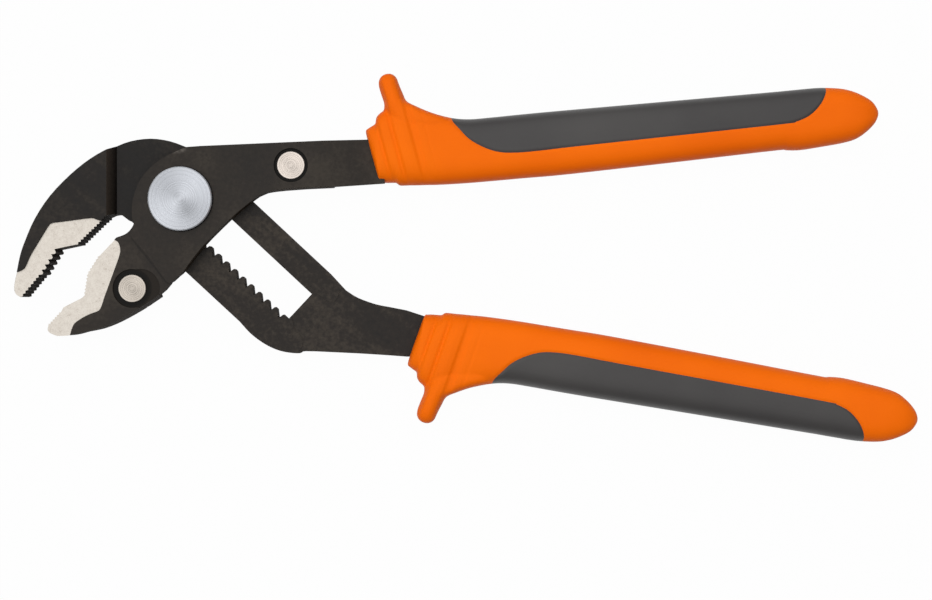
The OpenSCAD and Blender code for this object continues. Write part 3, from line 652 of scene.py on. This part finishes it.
# Turning marks: fine raised rings that stand a little out of the turned faces
marksMake = {"seed": 4, "unevenShare": 0.3, "around": 72, "wireSides": 10}
turningMarks = {
    "button": {"rings": 19, "inner": 0.0007, "spacing": 0.00041, "wire": 0.0001, "proud": 0.000024,
               "top": 0.0153, "centre": (0, 0), "body": "button", "slot": "bright_steel", "mat": buttonMat},
    "handle_rivet": {"rings": 6, "inner": 0.0006, "spacing": 0.00052, "wire": 0.00012, "proud": 0.00004,
                     "top": rivets["handle"]["top"], "centre": rivets["handle"]["at"], "body": "box",
                     "slot": "rivet_steel", "mat": handleRivetMat},
    "jaw_rivet": {"rings": 6, "inner": 0.0006, "spacing": 0.00052, "wire": 0.00012, "proud": 0.00004,
                  "top": rivets["jaw"]["top"], "centre": rivets["jaw"]["at"], "body": "box",
                  "slot": "rivet_steel", "mat": jawRivetMat},
}


def ringTree(p):
    tree = bpy.data.node_groups.new("turningMarks", "GeometryNodeTree")
    face, nodes, links = tree.interface, tree.nodes, tree.links
    face.new_socket("Geometry", in_out="INPUT", socket_type="NodeSocketGeometry")
    for label, kind in (("Rings", "Int"), ("Inner Radius", "Float"), ("Spacing", "Float"),
                        ("Unevenness", "Float"), ("Wire Radius", "Float"), ("Seed", "Int"),
                        ("Material", "Material")):
        face.new_socket(label, in_out="INPUT", socket_type="NodeSocket" + kind)
    face.new_socket("Geometry", in_out="OUTPUT", socket_type="NodeSocketGeometry")

    def calc(kind, a, b):
        node = nodes.new("ShaderNodeMath")
        node.operation = kind
        links.new(a, node.inputs[0])
        links.new(b, node.inputs[1])
        return node.outputs[0]

    given, result = nodes.new("NodeGroupInput").outputs, nodes.new("NodeGroupOutput")
    points = nodes.new("GeometryNodeMeshLine")
    points.inputs["Offset"].default_value = (0, 0, 0)
    index = nodes.new("GeometryNodeInputIndex")
    chance = nodes.new("FunctionNodeRandomValue")
    chance.data_type = "FLOAT"
    spread = [k for k in chance.inputs if k.name in ("Min", "Max") and k.type == "VALUE"]
    spread[0].default_value, spread[1].default_value = -0.5, 0.5
    links.new(given["Seed"], chance.inputs["Seed"])
    uneven = calc("MULTIPLY", [k for k in chance.outputs if k.type == "VALUE"][0], given["Unevenness"])
    even = calc("ADD", calc("MULTIPLY", index.outputs[0], given["Spacing"]), given["Inner Radius"])
    radius = calc("ADD", even, uneven)
    size = nodes.new("ShaderNodeCombineXYZ")
    for axis in ("X", "Y", "Z"):
        links.new(radius, size.inputs[axis])
    circle = nodes.new("GeometryNodeCurvePrimitiveCircle")
    circle.inputs["Resolution"].default_value = p["around"]
    circle.inputs["Radius"].default_value = 1
    wire = nodes.new("GeometryNodeCurvePrimitiveCircle")
    wire.inputs["Resolution"].default_value = p["wireSides"]
    put = nodes.new("GeometryNodeInstanceOnPoints")
    real = nodes.new("GeometryNodeRealizeInstances")
    sweep = nodes.new("GeometryNodeCurveToMesh")
    smooth = nodes.new("GeometryNodeSetShadeSmooth")
    whole = nodes.new("GeometryNodeRealizeInstances")
    finish = nodes.new("GeometryNodeSetMaterial")
    for source, target in (
            (given["Rings"], points.inputs["Count"]),
            (points.outputs["Mesh"], put.inputs["Points"]),
            (circle.outputs["Curve"], put.inputs["Instance"]),
            (size.outputs["Vector"], put.inputs["Scale"]),
            (put.outputs["Instances"], real.inputs["Geometry"]),
            (real.outputs["Geometry"], sweep.inputs["Curve"]),
            (given["Wire Radius"], wire.inputs["Radius"]),
            (wire.outputs["Curve"], sweep.inputs["Profile Curve"]),
            (sweep.outputs["Mesh"], smooth.inputs["Geometry"]),
            (smooth.outputs["Geometry"], whole.inputs["Geometry"]),
            (whole.outputs["Geometry"], finish.inputs["Geometry"]),
            (given["Material"], finish.inputs["Material"]),
            (finish.outputs["Geometry"], result.inputs["Geometry"])):
        links.new(source, target)
    return tree


marksTree = ringTree(marksMake)
socketOf = {k.name: k.identifier for k in marksTree.interface.items_tree if k.in_out == "INPUT"}
for node, p in turningMarks.items():
    obj = addObject(node + "_turning_marks", bpy.data.meshes.new(node + "_turning_marks"))
    marks = obj.modifiers.new("turning", "NODES")
    marks.node_group = marksTree
    for label, value in (("Rings", p["rings"]), ("Inner Radius", p["inner"]), ("Spacing", p["spacing"]),
                         ("Unevenness", p["spacing"] * marksMake["unevenShare"]), ("Wire Radius", p["wire"]),
                         ("Seed", marksMake["seed"]), ("Material", p["mat"])):
        marks[socketOf[label]] = value
    mesh = bakeModifiers(obj)
    mesh.transform(Matrix.Translation((*p["centre"], p["top"] + p["proud"] - p["wire"])))
    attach(obj, p["body"])
print("turned pieces done")

# Grips: one blank for both, cut along the inlay's edge and mirrored for the lower handle
grip = {
    "length": 141, "width": 20.2, "thick": 14.5, "voxel": 0.00032, "around": 64, "power": 0.7,
    "soften": 4, "softenFactor": 0.5, "sharpDeg": 40,
    # along the grip: place in shares of its length, upper and lower edge in widths, share of its thickness
    "sectionSteps": 5,
    "sections": [
        (0.004, 0.266, 0.197, 0.3), (0.01, 0.287, -0.06, 0.7), (0.02, 0.322, -0.44, 0.93),
        (0.024, 0.334, -0.463, 0.95), (0.027, 0.416, -0.472, 0.97), (0.034, 0.47, -0.482, 0.985),
        (0.046, 0.515, -0.49, 0.99), (0.054, 0.528, -0.497, 0.995), (0.059, 0.532, -0.534, 1),
        (0.068, 0.535, -0.542, 1), (0.08, 0.535, -0.547, 1), (0.095, 0.525, -0.556, 1),
        (0.11, 0.5, -0.563, 1), (0.139, 0.407, -0.578, 1), (0.175, 0.316, -0.588, 1),
        (0.209, 0.275, -0.594, 1), (0.252, 0.27, -0.597, 1), (0.31, 0.272, -0.6, 1),
        (0.389, 0.27, -0.605, 1), (0.6, 0.256, -0.583, 1), (0.81, 0.243, -0.555, 1),
        (0.828, 0.243, -0.567, 1), (0.856, 0.243, -0.583, 1), (0.9, 0.239, -0.565, 0.99),
        (0.94, 0.203, -0.542, 0.96), (0.965, 0.147, -0.507, 0.9), (0.985, 0.07, -0.43, 0.8),
        (1, -0.01, -0.345, 0.64), (1.008, -0.096, -0.27, 0.46), (1.012, -0.162, -0.203, 0.25)],
    # up the guard: height, front and rear edge in widths, share of the thickness
    "guardSteps": 4,
    "guard": [
        (0.2, 0.34, 1.3, 0.9), (0.3, 0.325, 1.2, 0.96), (0.425, 0.31, 0.925, 0.95),
        (0.515, 0.305, 0.76, 0.92), (0.6, 0.315, 0.63, 0.88), (0.715, 0.29, 0.585, 0.82),
        (0.825, 0.268, 0.55, 0.75),
        (0.885, 0.266, 0.534, 0.69), (0.925, 0.274, 0.524, 0.63), (0.955, 0.292, 0.508, 0.56),
        (0.978, 0.316, 0.486, 0.48), (0.995, 0.346, 0.46, 0.36), (1.005, 0.382, 0.43, 0.2)],
    "edgeSteps": 5,
    "inlayEdge": [
        (0.173, 0.45), (0.175, 0.27), (0.188, 0.13), (0.205, -0.02), (0.23, -0.145), (0.26, -0.235),
        (0.297, -0.268), (0.345, -0.27), (0.405, -0.262), (0.6, -0.248), (0.818, -0.231), (0.842, -0.216),
        (0.866, -0.163), (0.885, -0.07), (0.9, 0.05), (0.91, 0.2), (0.912, 0.4)],
    "toolSide": 0.02, "toolLow": -0.01, "toolHigh": 0.03,
    # how far the faces lie under the guard's ridge, in mm, along a line that leans with the ridge
    "lean": 0.17,
    "steps": [
        (0, 1.1), (3.9, 1.1), (4.9, 1.4), (5.8, 0.66), (6.6, 0.52), (7.7, 0.58), (8.7, 0.98), (9.8, 0.2),
        (11.5, 0), (12.8, 0.14), (14.1, 0.74), (14.8, 0.72), (16, 0.42), (17.1, 0.38), (17.8, 0.46),
        (18.6, 0.34), (30, 0.27)],
    "seamSteps": 8, "seamWidth": 0.6, "seamDepth": 0.34,
}
gripPlaces = {
    "upper": {"body": "box", "at": (0.0506, 0.01405), "turn": 5.55, "mirror": 1},
    "lower": {"body": "arm", "at": (0.0626, -0.0406), "turn": -9.8, "mirror": -1},
}


def bow(c, power):
    return math.copysign(abs(c) ** power, c)


def loftMesh(bm, rings):
    rows = [[bm.verts.new(p) for p in ring] for ring in rings]
    for a, b in zip(rows, rows[1:]):
        for k in range(len(a)):
            n = (k + 1) % len(a)
            bm.faces.new((a[k], a[n], b[n], b[k]))
    bm.faces.new(list(reversed(rows[0])))
    bm.faces.new(rows[-1])


def lofted(name, *lofts):
    bm = bmesh.new()
    for rings in lofts:
        loftMesh(bm, rings)
    mesh = bpy.data.meshes.new(name)
    bmesh.ops.recalc_face_normals(bm, faces=bm.faces)
    bm.to_mesh(mesh)
    bm.free()
    return addObject(name, mesh)


def gripBlank(g):
    angles = [2 * math.pi * k / g["around"] for k in range(g["around"])]
    body = []
    for s in curveThrough(g["sections"], g["sectionSteps"]):
        x, top, low, thick = s[0] * g["length"], s[1] * g["width"], s[2] * g["width"], s[3] * g["thick"]
        body.append([(x * mm, ((top + low) / 2 + (top - low) / 2 * bow(math.cos(a), g["power"])) * mm,
                      (g["thick"] / 2 + thick / 2 * bow(math.sin(a), g["power"])) * mm) for a in angles])
    guard = []
    for s in curveThrough(g["guard"], g["guardSteps"]):
        y, front, rear, thick = s[0] * g["width"], s[1] * g["width"], s[2] * g["width"], s[3] * g["thick"]
        guard.append([(((front + rear) / 2 + (rear - front) / 2 * bow(math.cos(a), g["power"])) * mm, y * mm,
                       (g["thick"] / 2 - thick / 2 * bow(math.sin(a), g["power"])) * mm) for a in angles])
    obj = lofted("gripBlank", body, guard)
    remesh = obj.modifiers.new("skin", "REMESH")
    remesh.mode = "VOXEL"
    remesh.voxel_size = g["voxel"]
    soften = obj.modifiers.new("soften", "SMOOTH")
    soften.factor = g["softenFactor"]
    soften.iterations = g["soften"]
    bakeModifiers(obj)
    return obj


def cutBy(obj, tool, how):
    copy = addObject(obj.name + how, obj.data.copy())
    cut = copy.modifiers.new("cut", "BOOLEAN")
    cut.object = tool
    cut.operation = how
    cut.solver = "EXACT"
    bakeModifiers(copy)
    return copy


def levelAt(steps, u):
    for (a, low), (b, high) in zip(steps, steps[1:]):
        if u < b:
            t = max(0, u - a) / (b - a)
            return low + (high - low) * t * t * (3 - 2 * t)
    return steps[-1][1]


# presses the stepped faces and the seam beside the inlay into a grip's part
def pressSteps(obj, g, seam):
    middle = g["thick"] / 2 * mm
    for v in obj.data.vertices:
        down = levelAt(g["steps"], (v.co.x + g["lean"] * v.co.y) / mm)
        off = seam.find((v.co.x, v.co.y, 0))[2] / mm
        down += g["seamDepth"] * max(0, 1 - off / g["seamWidth"])
        v.co.z = middle + (v.co.z - middle) * (1 - down * mm / middle)


def placeMesh(obj, p, name):
    mesh = obj.data.copy()
    turn = Matrix.Rotation(math.radians(p["turn"]), 4, "Z")
    mesh.transform(Matrix.Translation((*p["at"], 0)) @ turn @ Matrix.Scale(p["mirror"], 4, (0, 1, 0)))
    if p["mirror"] < 0:
        mesh.flip_normals()
    mesh.name = name
    return mesh


def meshObject(name, mesh, mat, body):
    obj = addObject(name, mesh)
    setMaterials(mesh, mat)
    smoothFaces(mesh)
    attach(obj, body)
    return obj


blank = gripBlank(grip)
print("grip blank", len(blank.data.polygons))
edge = [(x * grip["length"] * mm, y * grip["width"] * mm)
        for x, y in curveThrough(grip["inlayEdge"], grip["edgeSteps"])]
seam = nearTree(curveThrough(edge, grip["seamSteps"]))
outline = edge + [(edge[-1][0], grip["toolSide"]), (edge[0][0], grip["toolSide"])]
tool = lofted("inlayTool", [[(x, y, z) for x, y in outline] for z in (grip["toolLow"], grip["toolHigh"])])
shell = cutBy(blank, tool, "DIFFERENCE")
inlay = cutBy(blank, tool, "INTERSECT")
for part in (shell, inlay):
    pressSteps(part, grip, seam)
for which, p in gripPlaces.items():
    for part, kind, mat, slot in ((shell, "_grip", orangeMat, "orange_grip"),
                                  (inlay, "_grip_inlay", greyMat, "grey_inlay")):
        mesh = placeMesh(part, p, which + kind + "_skin")
        piece = meshObject(which + kind + "_skin", mesh, mat, p["body"])
        mesh.set_sharp_from_angle(angle=math.radians(grip["sharpDeg"]))
        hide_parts(which + kind)
for leftover in (blank, tool, shell, inlay):
    bpy.data.objects.remove(leftover)
print("grips done")


# Floor, backdrop and lamps
def whiteShare(mat, amount):
    ray = mat.node_tree.nodes.new("ShaderNodeLightPath").outputs
    seen = mathNode(mat, "MAXIMUM", mathNode(mat, "MAXIMUM", ray["Is Camera Ray"], ray["Is Glossy Ray"]),
                    ray["Is Transmission Ray"])
    return times(mat, seen, amount)


# white where the camera sees it, but for a share that keeps the shadow
def whiteToCamera(name, s):
    mat = bpy.data.materials.new(name)
    mat.use_nodes = True
    nodes = mat.node_tree.nodes
    nodes.clear()
    out = nodes.new("ShaderNodeOutputMaterial")
    plain = nodes.new("ShaderNodeBsdfDiffuse")
    plain.inputs["Color"].default_value = (s["floorTone"], s["floorTone"], s["floorTone"], 1)
    white = nodes.new("ShaderNodeEmission")
    white.inputs["Strength"].default_value = 1
    mix = nodes.new("ShaderNodeMixShader")
    link(mat, whiteShare(mat, 1 - s["shadowShare"]), mix.inputs[0])
    link(mat, plain.outputs[0], mix.inputs[1])
    link(mat, white.outputs[0], mix.inputs[2])
    link(mat, mix.outputs[0], out.inputs["Surface"])
    return mat


def addFloor(s):
    mesh = bpy.data.meshes.new("floor")
    r = s["floorReach"]
    corners = [(x, y, s["floorZ"]) for x, y in ((-r, -r), (r, -r), (r, r), (-r, r))]
    mesh.from_pydata(corners, [], [(0, 1, 2, 3)])
    mesh.materials.append(whiteToCamera("floorWhite", s))
    obj = addObject("floor", mesh)


def addLamp(name, s):
    data = bpy.data.lights.new(name, "AREA")
    data.energy = s[name + "Power"]
    data.shape = "RECTANGLE"
    data.size, data.size_y = s[name + "Size"]
    obj = addObject(name, data)
    obj.location = s[name + "At"]
    obj.rotation_euler = (Vector(s["aim"]) - Vector(s[name + "At"])).to_track_quat("-Z", "Y").to_euler()
    return obj


def addWorld(s):
    world = bpy.data.worlds.new("studio")
    scene.world = world
    world.use_nodes = True
    back = world.node_tree.nodes["Background"]
    back.inputs["Color"].default_value = (1, 1, 1, 1)
    seen = world.node_tree.nodes.new("ShaderNodeLightPath")
    strength = mapRange(world, seen.outputs["Is Camera Ray"], 0, 1, s["worldLevel"], 1)
    link(world, strength, back.inputs["Strength"])


addFloor(studio)
addWorld(studio)
addLamp("soft", studio)
addLamp("key", studio).visible_glossy = False
scene.view_settings.view_transform = "Standard"
print("studio done")
